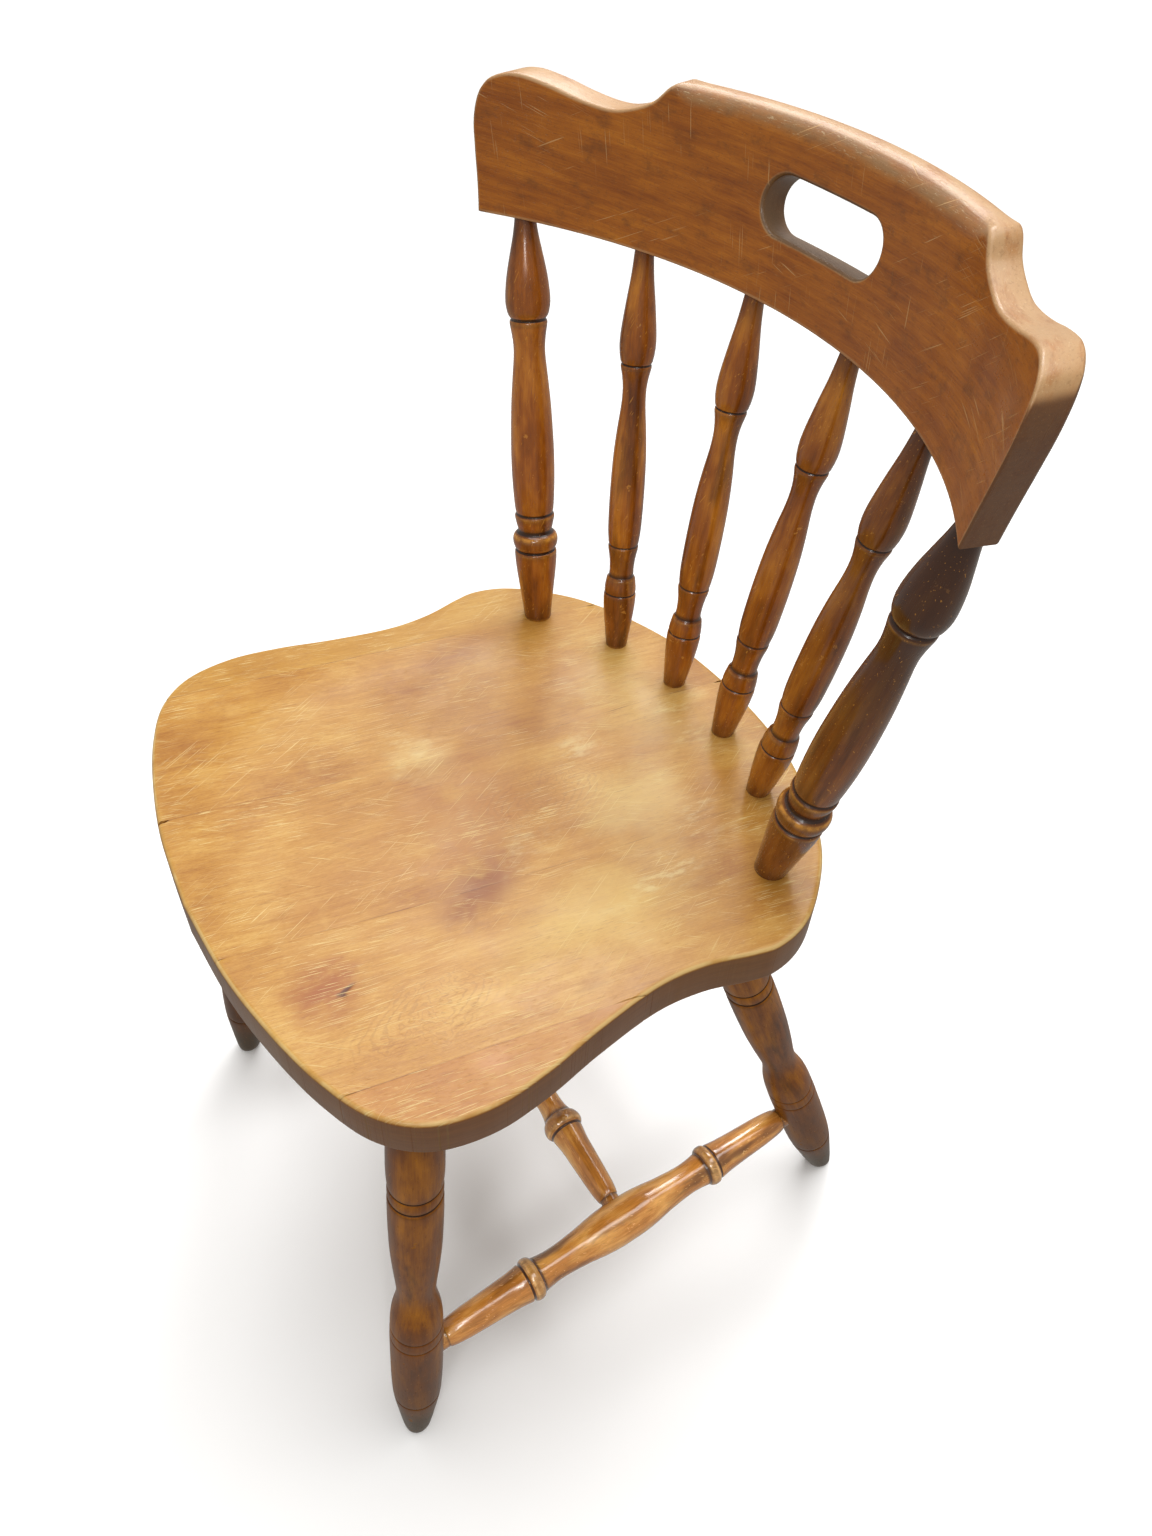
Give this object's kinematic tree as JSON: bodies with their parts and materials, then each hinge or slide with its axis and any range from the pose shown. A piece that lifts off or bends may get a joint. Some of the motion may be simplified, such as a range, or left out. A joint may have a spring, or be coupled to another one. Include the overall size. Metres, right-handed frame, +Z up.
{
  "type": "dining chair",
  "caption": "Spindle-back wooden dining chair with a dished shaped seat, turned posts, legs and stretchers, and a bent crest rail with a hand slot.",
  "frame": {"origin": "on the floor, under the middle of the chair's overall width and depth", "axes": "+Z up, +Y towards the back rest, -Y the way a sitter faces, +X to the right of a viewer who faces the chair's front"},
  "size_m": [0.4614, 0.4523, 0.8083],
  "materials": {
    "seat_wood": "satin varnish",
    "crest_wood": "satin varnish",
    "back_wood": "gloss varnish",
    "leg_wood": "satin varnish",
    "stretcher_wood": "gloss varnish",
    "pin_steel": "bare"
  },
  "bodies": {
    "root": {"seat_board_1": "seat_wood", "seat_board_2": "seat_wood", "seat_board_3": "seat_wood", "seat_board_4": "seat_wood", "seat_board_5": "seat_wood", "crest_rail": "crest_wood", "post_left": "back_wood", "post_right": "back_wood", "spindle_1": "back_wood", "spindle_2": "back_wood", "spindle_3": "back_wood", "spindle_4": "back_wood", "crest_pins": "pin_steel", "leg_front_left": "leg_wood", "leg_front_right": "leg_wood", "leg_rear_left": "leg_wood", "leg_rear_right": "leg_wood", "side_stretcher_left": "stretcher_wood", "side_stretcher_right": "stretcher_wood", "centre_stretcher": "stretcher_wood"}
  },
  "joints": []
}
